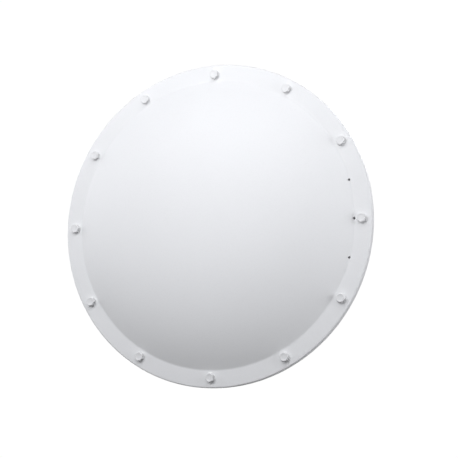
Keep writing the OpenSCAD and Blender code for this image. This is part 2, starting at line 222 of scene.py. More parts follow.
def moulded_white(name, level):
    """Satin white moulding: faint tone patches, fine orange peel, edges a touch lighter."""
    m = Nodes(name)
    patches = m.grey_ramp(m.noise(5.0, 3.0), 0.35, 0.65, level * 0.985, level, 0.006)
    dust = m.grey_ramp(m.noise(340.0, 5.0, 0.7), 0.30, 0.52, 0.975, 1.0)
    worn = m.mix(m.edges(0.52, 0.66), m.multiply(patches, dust), grey(min(level * 1.03, 0.95)))
    rough = m.grey_ramp(m.noise(60.0, 4.0), 0.3, 0.7, 0.46, 0.56)
    return m.finish(worn, rough, m.noise(900.0, 3.0), 0.12, 0.0002)


def painted(name, level, peel=700.0):
    """Powder paint over metal, with a little dust and thinner paint along the edges."""
    m = Nodes(name)
    patches = m.grey_ramp(m.noise(9.0, 4.0), 0.3, 0.7, level * 0.97, level, 0.004)
    dust = m.grey_ramp(m.noise(120.0, 6.0, 0.7), 0.28, 0.55, 0.95, 1.0)
    worn = m.mix(m.edges(0.53, 0.70), m.multiply(patches, dust), grey(level * 0.86))
    rough = m.grey_ramp(m.noise(45.0, 4.0), 0.3, 0.7, 0.38, 0.50)
    return m.finish(worn, rough, m.noise(peel, 3.0), 0.15, 0.0003)


def galvanised(name, level=0.50):
    """Hot-dip zinc: large crystals of slightly different greys, dull patches and bright edges."""
    m = Nodes(name)
    crystal = m.voronoi(95.0)
    spangle = m.grey_ramp(crystal.outputs["Color"], 0.15, 0.85, level * 0.80, level * 1.12, 0.02)
    cloudy = m.grey_ramp(m.noise(22.0, 5.0), 0.3, 0.7, 0.86, 1.0)
    worn = m.mix(m.edges(0.53, 0.68), m.multiply(spangle, cloudy), grey(level * 1.35))
    dull = m.math("ADD", m.math("MULTIPLY", m.noise(30.0, 4.0), 0.7),
                  m.math("MULTIPLY", crystal.outputs["Distance"], 12.0))
    rough = m.grey_ramp(dull, 0.2, 0.8, 0.42, 0.60)
    height = m.math("ADD", m.noise(260.0, 4.0),
                    m.math("MULTIPLY", crystal.outputs["Distance"], 10.0))
    return m.finish(worn, rough, height, 0.18, 0.0004, metallic=0.85)


def steel(name, level, brushed, rough_low, rough_high):
    """Bare steel with fine turning marks and slightly dull faces."""
    m = Nodes(name)
    stretch = m.new("ShaderNodeMapping")
    stretch.inputs["Scale"].default_value = (1.0, 0.15, 1.0)
    m.link(m.coords, stretch.inputs["Vector"])
    lines = m.noise(brushed * 6, 3.0, 0.6, stretch.outputs["Vector"])
    tone = m.grey_ramp(m.noise(70.0, 4.0), 0.3, 0.7, level * 0.86, level, 0.01)
    worn = m.mix(m.edges(0.53, 0.68), tone, grey(level * 1.2))
    rough = m.grey_ramp(lines, 0.3, 0.7, rough_low, rough_high)
    return m.finish(worn, rough, lines, 0.10, 0.0002, metallic=1.0)


def cast(name, level):
    """Sand-cast aluminium: grainy skin, dull, rubbed bright along the edges."""
    m = Nodes(name)
    tone = m.grey_ramp(m.noise(55.0, 6.0, 0.65), 0.3, 0.7, level * 0.82, level, 0.01)
    worn = m.mix(m.edges(0.53, 0.68), tone, grey(level * 1.35))
    rough = m.grey_ramp(m.noise(140.0, 5.0), 0.3, 0.7, 0.50, 0.68)
    return m.finish(worn, rough, m.noise(420.0, 6.0, 0.7), 0.35, 0.0006, metallic=0.9)


def spun(name, level, metallic, rough_low, rough_high):
    """Sheet turned on a lathe about the boresight: fine rings in the height and the gloss."""
    m = Nodes(name)
    split = m.new("ShaderNodeSeparateXYZ")
    m.link(m.coords, split.inputs["Vector"])
    x, z = split.outputs["X"], split.outputs["Z"]
    radius = m.math("SQRT", m.math("ADD", m.math("MULTIPLY", x, x), m.math("MULTIPLY", z, z)))
    rings = m.new("ShaderNodeTexNoise", noise_dimensions="1D")
    rings.inputs["Scale"].default_value = 420.0
    rings.inputs["Detail"].default_value = 4.0
    m.link(radius, rings.inputs["W"])
    ring = rings.outputs["Fac"]
    patches = m.grey_ramp(m.noise(8.0, 4.0), 0.3, 0.7, level * 0.955, level, 0.006)
    lines = m.grey_ramp(ring, 0.3, 0.7, 0.965, 1.0)
    worn = m.mix(m.edges(0.53, 0.7), m.multiply(patches, lines), grey(level * 0.92))
    rough = m.grey_ramp(ring, 0.3, 0.7, rough_low, rough_high)
    height = m.math("ADD", ring, m.math("MULTIPLY", m.noise(500.0, 3.0), 0.3))
    return m.finish(worn, rough, height, 0.15, 0.0004, metallic=metallic)


def rubber(name):
    """Black rubber with a grey bloom along the edges."""
    m = Nodes(name)
    tone = m.grey_ramp(m.noise(90.0, 5.0), 0.3, 0.7, 0.025, 0.045)
    bloom = m.mix(m.edges(0.52, 0.66), tone, grey(0.09))
    rough = m.grey_ramp(m.noise(160.0, 4.0), 0.3, 0.7, 0.62, 0.80)
    return m.finish(bloom, rough, m.noise(800.0, 4.0), 0.3, 0.0003)


def plastic(name, colour):
    """Machined plastic, slightly uneven in tone and gloss."""
    m = Nodes(name)
    dark = tuple(c * 0.94 for c in colour)
    tone = m.ramp(m.noise(50.0, 4.0), [(0.3, dark), (0.7, colour)])
    worn = m.mix(m.edges(0.53, 0.68), tone, tuple(min(c * 1.05, 0.95) for c in colour))
    rough = m.grey_ramp(m.noise(120.0, 4.0), 0.3, 0.7, 0.34, 0.46)
    return m.finish(worn, rough, m.noise(600.0, 3.0), 0.12, 0.0002)


def brass(name):
    """Brass, darker where it has tarnished and bright along the edges."""
    m = Nodes(name)
    tone = m.ramp(m.noise(80.0, 5.0), [(0.3, (0.52, 0.36, 0.13)), (0.7, (0.74, 0.55, 0.24))])
    worn = m.mix(m.edges(0.53, 0.68), tone, (0.88, 0.70, 0.36))
    rough = m.grey_ramp(m.noise(220.0, 4.0), 0.3, 0.7, 0.24, 0.40)
    return m.finish(worn, rough, m.noise(700.0, 3.0), 0.12, 0.0002, metallic=1.0)


MATERIALS = {
    "radome_white": moulded_white("radome_white", 0.83),
    "bolt_white": painted("bolt_white", 0.80, 1100.0),
    "dish_white": spun("dish_white", 0.78, 0.0, 0.40, 0.52),
    "seal_rubber": rubber("seal_rubber"),
    "bare_alloy": spun("bare_alloy", 0.68, 1.0, 0.26, 0.40),
    "cast_alloy": cast("cast_alloy", 0.52),
    "feed_plastic": plastic("feed_plastic", (0.88, 0.87, 0.82)),
    "contact_brass": brass("contact_brass"),
    "port_nickel": steel("port_nickel", 0.66, 200.0, 0.24, 0.40),
    "zinc_plate": galvanised("zinc_plate"),
    "fastener_steel": steel("fastener_steel", 0.50, 260.0, 0.42, 0.58)}
HOUSING = painted("housing_white", 0.76)
WELD = galvanised("zinc_weld", 0.42)

SLOT_OF = {s["node"]: s["material_slot"] for s in frame["record"]["subparts"]}
REPLACED = set()                    # CAD nodes that a detailed piece stands for


# ---- mesh helpers ----

def add_object(name, mesh, material):
    obj = bpy.data.objects.new(name, mesh)
    bpy.context.scene.collection.objects.link(obj)
    mesh.materials.clear()
    mesh.materials.append(material)
    return obj


def smooth(mesh, degrees):
    """Smooth shading, with edges sharper than the angle kept sharp."""
    mesh.polygons.foreach_set("use_smooth", [True] * len(mesh.polygons))
    mesh.set_sharp_from_angle(angle=math.radians(degrees))


def even_angles(steps, offset=0.0):
    return [2 * math.pi * (i + offset) / steps for i in range(steps)]


def circle(radius, z, angles):
    return [(radius * math.cos(a), radius * math.sin(a), z) for a in angles]


def on_circle(radius, count, start=0.0):
    """Evenly spaced spots on a circle, for holes."""
    angles = [start + 2 * math.pi * i / count for i in range(count)]
    return [(radius * math.cos(a), radius * math.sin(a)) for a in angles]


def arc(cx, cz, radius, start, end, steps):
    """Points of an arc, angles in degrees from the radial direction."""
    angles = [math.radians(start + (end - start) * i / steps) for i in range(steps + 1)]
    return [(cx + radius * math.cos(a), cz + radius * math.sin(a)) for a in angles]


def revolve(profile, steps):
    """A mesh turned about Z from a closed list of (radius, height). A radius of 0 makes a pole."""
    bm = bmesh.new()
    angles = even_angles(steps)
    rings = []
    for r, z in profile:
        if r < 1e-7:
            rings.append([bm.verts.new((0, 0, z))])
        else:
            rings.append([bm.verts.new(p) for p in circle(r, z, angles)])
    for a, b in zip(rings, rings[1:] + rings[:1]):
        if len(a) == 1 and len(b) == 1:
            continue
        for i in range(steps):
            j = (i + 1) % steps
            if len(a) == 1:
                bm.faces.new((a[0], b[i], b[j]))
            elif len(b) == 1:
                bm.faces.new((a[i], b[0], a[j]))
            else:
                bm.faces.new((a[i], b[i], b[j], a[j]))
    bmesh.ops.recalc_face_normals(bm, faces=bm.faces)
    mesh = bpy.data.meshes.new("turned")
    bm.to_mesh(mesh)
    bm.free()
    return mesh


def cut(obj, cutter):
    """Take cutter's shape out of obj and drop the cutter."""
    mod = obj.modifiers.new("cut", "BOOLEAN")
    mod.operation = "DIFFERENCE"
    mod.solver = "EXACT"
    mod.object = cutter
    bpy.context.view_layer.update()
    graph = bpy.context.evaluated_depsgraph_get()
    mesh = bpy.data.meshes.new_from_object(obj.evaluated_get(graph))
    obj.modifiers.clear()
    old = obj.data
    obj.data = mesh
    bpy.data.meshes.remove(old)
    bpy.data.objects.remove(cutter)


def pegs(spots, radius, low, high):
    """One object of round pegs along Z, for cutting holes."""
    bm = bmesh.new()
    for x, y in spots:
        bmesh.ops.create_cone(bm, cap_ends=True, segments=40, radius1=radius, radius2=radius,
                              depth=high - low,
                              matrix=Matrix.Translation((x, y, (low + high) / 2)))
    mesh = bpy.data.meshes.new("pegs")
    bm.to_mesh(mesh)
    bm.free()
    obj = bpy.data.objects.new("pegs", mesh)
    bpy.context.scene.collection.objects.link(obj)
    return obj


# ---- radome ----

def dome_z(r):
    """Height of the dome over its flange, flatter in the middle than a ball's."""
    share = (r / ROOT_R) ** 2
    return DOME_H * (1 - (1 - DOME_EDGE) * share - DOME_EDGE * share ** 2)


def radome():
    """The shell as one closed profile: dome, foot, flange, lip, and the same way back inside."""
    slope = math.atan(DOME_H / ROOT_R * (2 + 2 * DOME_EDGE))
    touch = ROOT_ROUND * math.tan(slope / 2)
    last = ROOT_R - touch * math.cos(slope)
    hem_r, under_r = 1 * MM, 2 * MM
    outer = [(last * i / 64, dome_z(last * i / 64)) for i in range(64)]
    foot = arc(ROOT_R + touch, ROOT_ROUND, ROOT_ROUND, 270 - math.degrees(slope), 270, 10)
    edge = arc(RIM_R - LIP_ROUND, -LIP_ROUND, LIP_ROUND, 90, 0, 10)
    hem = arc(RIM_R - hem_r, -LIP_D + hem_r, hem_r, 0, -90, 4)
    hem += arc(RIM_R - LIP_T + hem_r, -LIP_D + hem_r, hem_r, 270, 180, 4)
    under = arc(RIM_R - LIP_T - under_r, -WALL - under_r, under_r, 0, 90, 5)
    inside = ROOT_R - 2 * MM
    inner = [(inside * i / 48, dome_z(inside * i / 48) - WALL) for i in range(48, -1, -1)]
    profile = outer + foot + edge + hem + under + [(ROOT_R, -WALL)] + inner
    obj = add_object("radome", revolve(profile, 288), MATERIALS["radome_white"])
    cut(obj, pegs(on_circle(RIM_BOLT_R, RIM_BOLTS), RIM_HOLE_R, -20 * MM, 20 * MM))
    drains = [(DRAIN_AT * math.cos(math.radians(a)), DRAIN_AT * math.sin(math.radians(a)))
              for a in (-DRAIN_APART, 0, DRAIN_APART)]
    cut(obj, pegs(drains, DRAIN_R, -20 * MM, 30 * MM))
    smooth(obj.data, 24)
    obj.data.transform(FRONT)
    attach(obj, "dish")
    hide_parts("radome_shell")
    REPLACED.add("radome_shell")


radome()


# ---- reflector ----

def reflector():
    """Spun paraboloid with a flat rim and a flat pad in the middle."""
    flange = -WALL - GASKET_T
    vertex = flange - DISH_EDGE_R ** 2 / (4 * FOCAL)
    pad = vertex + PAD_R ** 2 / (4 * FOCAL)

    def bowl(drop, steps=64):
        radii = [PAD_R + (DISH_EDGE_R - PAD_R) * i / steps for i in range(steps + 1)]
        return [(r, vertex + r ** 2 / (4 * FOCAL) - drop) for r in radii]

    rim_in = DISH_RIM_R - DISH_ROUND
    rim = arc(rim_in, flange - DISH_ROUND, DISH_ROUND, 90, 0, 3)
    rim += arc(rim_in, flange - DISH_T + DISH_ROUND, DISH_ROUND, 0, -90, 3)
    profile = ([(DISH_MOUTH_R, pad)] + bowl(0) + rim + bowl(DISH_T)[::-1]
               + [(DISH_MOUTH_R, pad - DISH_T)])
    obj = add_object("reflector", revolve(profile, 256), MATERIALS["dish_white"])
    holes = (on_circle(RIM_BOLT_R, RIM_BOLTS)
             + on_circle(HUB_BOLT_R, HUB_BOLTS, math.radians(30)))
    cut(obj, pegs(holes, DISH_HOLE_R, pad - 20 * MM, 20 * MM))
    smooth(obj.data, 24)
    obj.data.transform(FRONT)
    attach(obj, "dish")
    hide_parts("reflector_dish")
    REPLACED.add("reflector_dish")


reflector()


# ---- fasteners ----

HEX_ANGLES = even_angles(72, 0.5)
ROUND_ANGLES = even_angles(48)
HEX_CHAMFER = math.tan(math.radians(28))
FLAT_SHARE = 0.95                   # of a head's half width, up to where its chamfer starts
SHANK_PLAY = 0.02 * MM


def solids(node):
    """(lowest, highest) corner of each separate solid in a CAD node."""
    bm = bmesh.new()
    bm.from_mesh(frame["nodes"][node].data)
    bmesh.ops.remove_doubles(bm, verts=bm.verts, dist=1e-6)
    seen, out = set(), []
    for start in bm.verts:
        if start in seen:
            continue
        stack, part = [start], []
        seen.add(start)
        while stack:
            v = stack.pop()
            part.append(v.co.copy())
            for e in v.link_edges:
                w = e.other_vert(v)
                if w not in seen:
                    seen.add(w)
                    stack.append(w)
        out.append((Vector([min(c[k] for c in part) for k in range(3)]),
                    Vector([max(c[k] for c in part) for k in range(3)])))
    bm.free()
    return out


def hex_radius(angle, af):
    """Distance from a hexagon's centre to its side, at an angle."""
    third = math.radians(60)
    return af / 2 / math.cos((angle % third) - third / 2)


def hex_ring(af, share, z_of):
    """Points of a hexagon of the given share of its size, z_of giving z from the full radius."""
    out = []
    for a in HEX_ANGLES:
        r = hex_radius(a, af) * share
        out.append((r * math.cos(a), r * math.sin(a), z_of(r)))
    return out


def loft(bm, rings, close_top=True, close_bottom=True):
    """Quads between rings of points of one length."""
    rows = [[bm.verts.new(p) for p in ring] for ring in rings]
    count = len(rows[0])
    for a, b in zip(rows, rows[1:]):
        for i in range(count):
            j = (i + 1) % count
            bm.faces.new((a[i], a[j], b[j], b[i]))
    if close_bottom:
        bm.faces.new(rows[0][::-1])
    if close_top:
        bm.faces.new(rows[-1])


def hex_head(bm, af, height, base_z, dish):
    """Chamfered hexagon head on z = base_z, with a shallow dished top."""
    flat_r = af / 2 * FLAT_SHARE
    top = base_z + height

    def chamfered(drop):
        return lambda r: top - max(0.0, r - flat_r) * HEX_CHAMFER - drop

    loft(bm, [hex_ring(af, 0.985, lambda r: base_z),
              hex_ring(af, 1.0, lambda r: base_z + 0.04 * height),
              hex_ring(af, 1.0, chamfered(0.03 * af)),
              hex_ring(af, 0.985, chamfered(0.0)),
              circle(flat_r * 0.97, top, HEX_ANGLES),
              circle(flat_r * 0.86, top - dish * 0.15, HEX_ANGLES),
              circle(flat_r * 0.70, top - dish, HEX_ANGLES),
              circle(flat_r * 0.3, top - dish, HEX_ANGLES)])


def hex_nut(bm, af, bore, height):
    """Nut on z = 0 with both faces chamfered and countersunk."""
    flat_r = af / 2 * FLAT_SHARE

    def drop(r):
        return max(0.0, r - flat_r) * HEX_CHAMFER

    loft(bm, [circle(bore, 0.12 * height, HEX_ANGLES),
              circle(bore * 1.1, 0, HEX_ANGLES),
              circle(flat_r, 0, HEX_ANGLES),
              hex_ring(af, 1.0, drop),
              hex_ring(af, 1.0, lambda r: height - drop(r)),
              circle(flat_r, height, HEX_ANGLES),
              circle(bore * 1.1, height, HEX_ANGLES),
              circle(bore, height * 0.88, HEX_ANGLES),
              circle(bore, 0.12 * height, HEX_ANGLES)], False, False)


def thread(bm, radius, z_low, z_high, pitch, steps=20):
    """Threaded shank along Z: ridges that climb one pitch a turn, with a chamfered end at z_low."""
    depth = 0.54 * pitch
    turns = (z_high - z_low) / pitch
    rows = max(2, int(turns * 4))
    rings = []
    for k in range(rows + 1):
        z = z_low + (z_high - z_low) * k / rows
        near_end = min(1.0, (z - z_low) / (1.2 * pitch))
        ring = []
        for i, a in enumerate(even_angles(steps)):
            phase = ((z / pitch) - i / steps) % 1.0
            ridge = abs(phase - 0.5) * 2
            r = min(radius - depth * ridge, radius - depth * 1.1 * (1 - near_end))
            ring.append((r * math.cos(a), r * math.sin(a), z))
        rings.append(ring)
    loft(bm, rings)


def turned(bm, profile):
    """Closed turned solid about Z, added to bm."""
    loft(bm, [circle(r, z, ROUND_ANGLES) for r, z in profile])


def washer_face(bm, radius, z_low, z_high):
    edge = 0.18 * (z_high - z_low)
    turned(bm, [(radius - edge, z_low), (radius, z_low + edge),
                (radius, z_high - edge), (radius - edge, z_high)])


def placed(bm, spot, z_axis, spin=0.0):
    """Turn everything in bm so that its Z lies along z_axis at spot."""
    turn = Vector((0, 0, 1)).rotation_difference(Vector(z_axis)).to_matrix().to_4x4()
    matrix = Matrix.Translation(spot) @ turn @ Matrix.Rotation(spin, 4, "Z")
    bmesh.ops.transform(bm, matrix=matrix, verts=bm.verts)


def as_piece(name, parts, node, body, material, angle=28):
    """One object out of a list of bmeshes, standing for a CAD node if one is named."""
    whole = bmesh.new()
    for bm in parts:
        mesh = bpy.data.meshes.new("part")
        bmesh.ops.recalc_face_normals(bm, faces=bm.faces)
        bm.to_mesh(mesh)
        whole.from_mesh(mesh)
        bpy.data.meshes.remove(mesh)
        bm.free()
    mesh = bpy.data.meshes.new(name)
    whole.to_mesh(mesh)
    whole.free()
    obj = add_object(name, mesh, material)
    smooth(mesh, angle)
    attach(obj, body)
    if node:
        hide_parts(node)
        REPLACED.add(node)


def fastener_row(name, node, body, head, slot, towards, seed):
    """Build one detailed fastener in place of each solid of a node.

    head(bm, length) draws it with its far end at z = 0 and its head towards +z.
    towards(low, high) gives the direction the head points.
    """
    rng = random.Random(seed)
    parts = []
    for low, high in solids(node):
        d = Vector(towards(low, high))
        axis = max(range(3), key=lambda k: abs(d[k]))
        start = (low + high) / 2
        start[axis] = low[axis] if d[axis] > 0 else high[axis]
        bm = bmesh.new()
        head(bm, high[axis] - low[axis])
        placed(bm, start, d, rng.uniform(0, math.tau))
        parts.append(bm)
    as_piece(name, parts, node, body, MATERIALS[slot])


def flange_bolt(radius, af, head_h, flange_r, flange_t, pitch, threaded=1.0):
    """A bolt's drawer: shank threaded over a share of its length, washer face, chamfered head."""
    def draw(bm, length):
        seat = length - head_h - flange_t
        plain = seat * (1 - threaded)
        thread(bm, radius - SHANK_PLAY, 0, seat - plain, pitch)
        if plain > 0.5 * MM:
            turned(bm, [(radius, seat - plain), (radius, seat)])
        washer_face(bm, flange_r, seat, seat + flange_t)
        hex_head(bm, af, head_h, seat + flange_t, 0.35 * MM)
    return draw


def small_screw(radius, af, head_h, pitch):
    def draw(bm, length):
        thread(bm, radius - SHANK_PLAY, 0, length - head_h, pitch, 16)
        hex_head(bm, af, head_h, length - head_h, 0.12 * af)
    return draw


def plain_nut(af, bore, washer_r=0.0, washer_t=0.0):
    """A nut's drawer, with a washer under it if washer_t is given."""
    def draw(bm, length):
        if washer_t:
            washer_face(bm, washer_r, 0, washer_t)
        nut = bmesh.new()
        hex_nut(nut, af, bore, length - washer_t)
        bmesh.ops.translate(nut, vec=(0, 0, washer_t), verts=nut.verts)
        mesh = bpy.data.meshes.new("nut")
        nut.to_mesh(mesh)
        nut.free()
        bm.from_mesh(mesh)
        bpy.data.meshes.remove(mesh)
    return draw


def jack_screw(bm, length):
    """Pushing screw: round tip at z = 0, thread, and a plain hexagon head."""
    head_h = 8 * MM
    tip = [(0.6, 0.03), (2.2, 0.42), (3.8, 1.36), (5.0, 2.68), (5.7, 4.1), (5.75, 5.6)]
    turned(bm, [(r * MM, z * MM) for r, z in tip])
    thread(bm, 6 * MM - SHANK_PLAY, 5.2 * MM, length - head_h, 1.75 * MM, 28)
    hex_head(bm, 18 * MM, head_h, length - head_h, 0.4 * MM)


def rim_bolt(bm, length):
    head_h = 6.4 * MM
    thread(bm, 5 * MM - SHANK_PLAY, 0, length - head_h, 1.5 * MM)
    hex_head(bm, 16 * MM, head_h, length - head_h, 0.5 * MM)


def rim_washer(bm, length):
    """Flat washer as a closed ring; its thickness is in the profile."""
    profile = [(5.3, 0), (9.5, 0), (9.8, 0.35), (9.8, 1.65),
               (9.5, 2.0), (5.5, 2.0), (5.3, 1.8), (5.3, 0)]
    loft(bm, [circle(r * MM, z * MM, ROUND_ANGLES) for r, z in profile], False, False)


def out_x(low, high):
    return (1, 0, 0) if low.x + high.x > 0 else (-1, 0, 0)


def in_x(low, high):
    return (-1, 0, 0) if low.x + high.x > 0 else (1, 0, 0)


def out_z(low, high):
    return (0, 0, 1) if low.z + high.z > 0 else (0, 0, -1)


def in_z(low, high):
    return (0, 0, -1) if low.z + high.z > 0 else (0, 0, 1)


def down(low, high):
    return (0, 0, -1)


def to_front(low, high):
    return (0, -1, 0)


def to_back(low, high):
    return (0, 1, 0)


M8_GROUND = flange_bolt(4 * MM, 13 * MM, 5.3 * MM, 8.5 * MM, 1.6 * MM, 1.25 * MM)
M10_HEAD = flange_bolt(5 * MM, 16 * MM, 6.4 * MM, 12 * MM, 2 * MM, 1.5 * MM)
M10_HUB = flange_bolt(5 * MM, 16 * MM, 6.4 * MM, 11 * MM, 2 * MM, 1.5 * MM)
M12_HEAD = flange_bolt(6 * MM, 18 * MM, 7.5 * MM, 13.5 * MM, 2.5 * MM, 1.75 * MM)
M12_LONG = flange_bolt(6 * MM, 18 * MM, 7.5 * MM, 13.5 * MM, 2.5 * MM, 1.75 * MM, 0.55)
M10_NUT = plain_nut(16 * MM, 5 * MM)
M10_NUT_WASHER = plain_nut(16 * MM, 5 * MM, 10.5 * MM, 2 * MM)
M12_NUT = plain_nut(18 * MM, 6 * MM)
M12_NUT_WASHER = plain_nut(18 * MM, 6 * MM, 12 * MM, 2.5 * MM)
JACK_NUT = plain_nut(18 * MM, 6.05 * MM)
CLAMP_SCREW = small_screw(2.5 * MM, 8 * MM, 3.5 * MM, 0.8 * MM)
COVER_SCREW = small_screw(2 * MM, 7 * MM, 2.8 * MM, 0.7 * MM)
PORT_SCREW = small_screw(1.5 * MM, 5.5 * MM, 2 * MM, 0.5 * MM)

# piece, CAD node, body, drawer, material slot, where the head points, seed of its turn
FASTENERS = (
    ("radome_bolt_set", "radome_bolts", "dish", rim_bolt, "bolt_white", to_front, 3),
    ("washer_set", "bolt_washers", "dish", rim_washer, "bolt_white", to_front, 4),
    ("rim_nut_set", "rim_nuts", "dish", M10_NUT_WASHER, "fastener_steel", to_back, 5),
    ("hub_bolt_set", "hub_bolts", "dish", M10_HUB, "fastener_steel", to_front, 6),
    ("hub_nut_set", "hub_nuts", "dish", M10_NUT, "fastener_steel", to_back, 7),
    ("lock_bolt_set", "lock_bolts", "dish", M10_HEAD, "fastener_steel", out_x, 8),
    ("lock_nut_set", "lock_nuts", "dish", M10_NUT, "fastener_steel", in_x, 9),
    ("pivot_bolt_set", "pivot_bolts", "yoke", M12_HEAD, "fastener_steel", out_x, 10),
    ("pivot_nut_set", "pivot_nuts", "yoke", M12_NUT, "fastener_steel", in_x, 11),
    ("jack_nut_set", "jack_nuts", "yoke", JACK_NUT, "fastener_steel", to_back, 12),
    ("swivel_bolt_set", "swivel_bolts", "pole_mount", M12_HEAD, "fastener_steel", out_z, 13),
    ("swivel_nut_set", "swivel_nuts", "pole_mount", M12_NUT, "fastener_steel", in_z, 14),
    ("pan_lock_bolt_set", "pan_lock_bolts", "pole_mount", M10_HEAD, "fastener_steel", out_z, 15),
    ("pan_lock_nut_set", "pan_lock_nuts", "pole_mount", M10_NUT, "fastener_steel", in_z, 16),
    ("clamp_bolt_set", "clamp_bolts", "pole_mount", M12_LONG, "fastener_steel", to_front, 17),
    ("clamp_nut_set", "clamp_nuts", "pole_mount", M12_NUT_WASHER, "fastener_steel", to_back, 18),
    ("clamp_screw_set", "clamp_screws", "dish", CLAMP_SCREW, "fastener_steel", to_back, 19),
    ("cover_screw_set", "cover_screws", "feed", COVER_SCREW, "fastener_steel", to_back, 20),
    ("port_screw_set", "port_screws", "feed", PORT_SCREW, "fastener_steel", down, 21),
    ("upper_jack", "upper_jack_screw", "upper_jack", jack_screw, "fastener_steel", to_back, 22),
    ("lower_jack", "lower_jack_screw", "lower_jack", jack_screw, "fastener_steel", to_back, 23),
    ("ground_screw_set", "ground_screw", "pole_mount", M8_GROUND, "contact_brass", to_front, 24),
)

for row in FASTENERS:
    fastener_row(*row)


# ---- coaxial socket ----

def socket_flange(half, thickness):
    """Square flange with round corners, four screw holes and a hole for the barrel."""
    corner = 2.2 * MM
    outline = []
    for quarter in range(4):
        cx = (half - corner) * (1 if quarter in (0, 3) else -1)
        cy = (half - corner) * (1 if quarter in (0, 1) else -1)
        outline += arc(cx, cy, corner, 90 * quarter, 90 * quarter + 90, 6)
    edge = 0.3 * MM
    shrink = 1 - edge / half
    bm = bmesh.new()
    loft(bm, [[(x * k, y * k, z) for x, y in outline]
              for k, z in ((shrink, 0), (1, edge), (1, thickness - edge), (shrink, thickness))])
    mesh = bpy.data.meshes.new("flange")
    bm.to_mesh(mesh)
    bm.free()
    flange = add_object("socket_flange", mesh, MATERIALS["port_nickel"])
    screws = [(x * 9.1 * MM, y * 9.1 * MM) for x in (-1, 1) for y in (-1, 1)]
    cut(flange, pegs(screws, 1.6 * MM, -1 * MM, 5 * MM))
    cut(flange, pegs([(0, 0)], 6.4 * MM, -1 * MM, 5 * MM))
    out = bmesh.new()
    out.from_mesh(flange.data)
    bpy.data.objects.remove(flange)
    return out


def socket_barrel(flange_t, top):
    """Threaded barrel with a stepped bore, mouth at z = top."""
    pitch, crest, depth = 1.058 * MM, 7.94 * MM, 0.55 * MM
    steps = len(ROUND_ANGLES)
    rings = [circle(r * MM, z, ROUND_ANGLES) for r, z in
             ((6.5, 0), (6.5, flange_t), (7.3, flange_t), (7.3, flange_t + 1.4 * MM))]
    start, end = flange_t + 1.6 * MM, top - 1.6 * MM
    rows = int((end - start) / pitch * 5)
    for k in range(rows + 1):
        z = start + (end - start) * k / rows
        ring = []
        for i, a in enumerate(ROUND_ANGLES):
            r = crest - depth * abs(((z / pitch - i / steps) % 1.0) - 0.5) * 2
            ring.append((r * math.cos(a), r * math.sin(a), z))
        rings.append(ring)
    mouth = ((7.2, 1.4), (7.2, 0.35), (6.9, 0), (5.3, 0), (5.0, 0.3),
             (5.0, 13), (4.1, 13), (4.1, 20), (6.5, 20))
    rings += [circle(r * MM, top - d * MM, ROUND_ANGLES) for r, d in mouth]
    bm = bmesh.new()
    loft(bm, rings, False, False)
    bmesh.ops.remove_doubles(bm, verts=bm.verts, dist=1e-7)
    return bm


def socket():
    """Flanged coaxial socket, its mouth downwards."""
    low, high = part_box("port_shell")
    flange_t = 3 * MM
    parts = [socket_barrel(flange_t, high.z - low.z),
             socket_flange((high.x - low.x) / 2, flange_t)]
    spot = Vector(((low.x + high.x) / 2, (low.y + high.y) / 2, high.z))
    for part in parts:
        placed(part, spot, (0, 0, -1))
    as_piece("socket", parts, "port_shell", "feed", MATERIALS["port_nickel"], 24)


socket()


# ---- weld beads ----

def bead(bm, start, end, side_a, side_b, leg, rng):
    """Rippled fillet bead from start to end, on the faces that side_a and side_b point along."""
    start, end = Vector(start) * MM, Vector(end) * MM
    a, b = Vector(side_a), Vector(side_b)
    length = (end - start).length
    count = int(length / (0.7 * MM))
    ripple = 2.3 * MM
    sunk = -0.15 * leg
    rings = []
    for k in range(count + 1):
        t = k / count
        along = start.lerp(end, t)
        phase = (t * length / ripple) % 1.0
        size = leg * MM * (0.90 + 0.10 * phase + rng.uniform(-0.015, 0.015))
        size *= min(1.0, 0.45 + min(t, 1 - t) * length / (2.2 * MM))
        ring = [along + (a + b) * sunk * MM]
        for i in range(6):
            turn = math.radians(90 * i / 5)
            bulge = 1.0 - 0.22 * math.sin(2 * turn)
            ring.append(along + (a * math.cos(turn) + b * math.sin(turn)) * size * bulge)
        rings.append(ring)
    loft(bm, rings)


def weld_set(name, body, lines, seed):
    """One piece of beads from (start, end, side, side, leg) lines, in mm."""
    rng = random.Random(seed)
    parts = []
    for start, end, side_a, side_b, leg in lines:
        bm = bmesh.new()
        bead(bm, start, end, side_a, side_b, leg, rng)
        parts.append(bm)
    as_piece(name, parts, None, body, WELD, 70)


def both_ways(axes, lines):
    """The lines and their mirror images across the planes named in axes."""
    for axis in axes:
        flip = Vector([-1 if "xyz"[k] == axis else 1 for k in range(3)])
        lines = lines + [tuple(tuple(Vector(v) * flip) for v in line[:4]) + (line[4],)
                         for line in lines]
    return lines


def along_z(x, y, low, high, side_y, leg):
    """A bead up a plate's inner face at x, whose other leg lies along Y."""
    return ((x, y, low), (x, y, high), (-1, 0, 0), (0, side_y, 0), leg)


def along_x(reach, y, z, side_z, side_y, leg):
    """A bead from -reach to reach on a level plate at z."""
    return ((-reach, y, z), (reach, y, z), (0, 0, side_z), (0, side_y, 0), leg)


def box_mm(node):
    """A node's lowest and highest corner, in mm."""
    return [[value / MM for value in corner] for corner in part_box(node)]


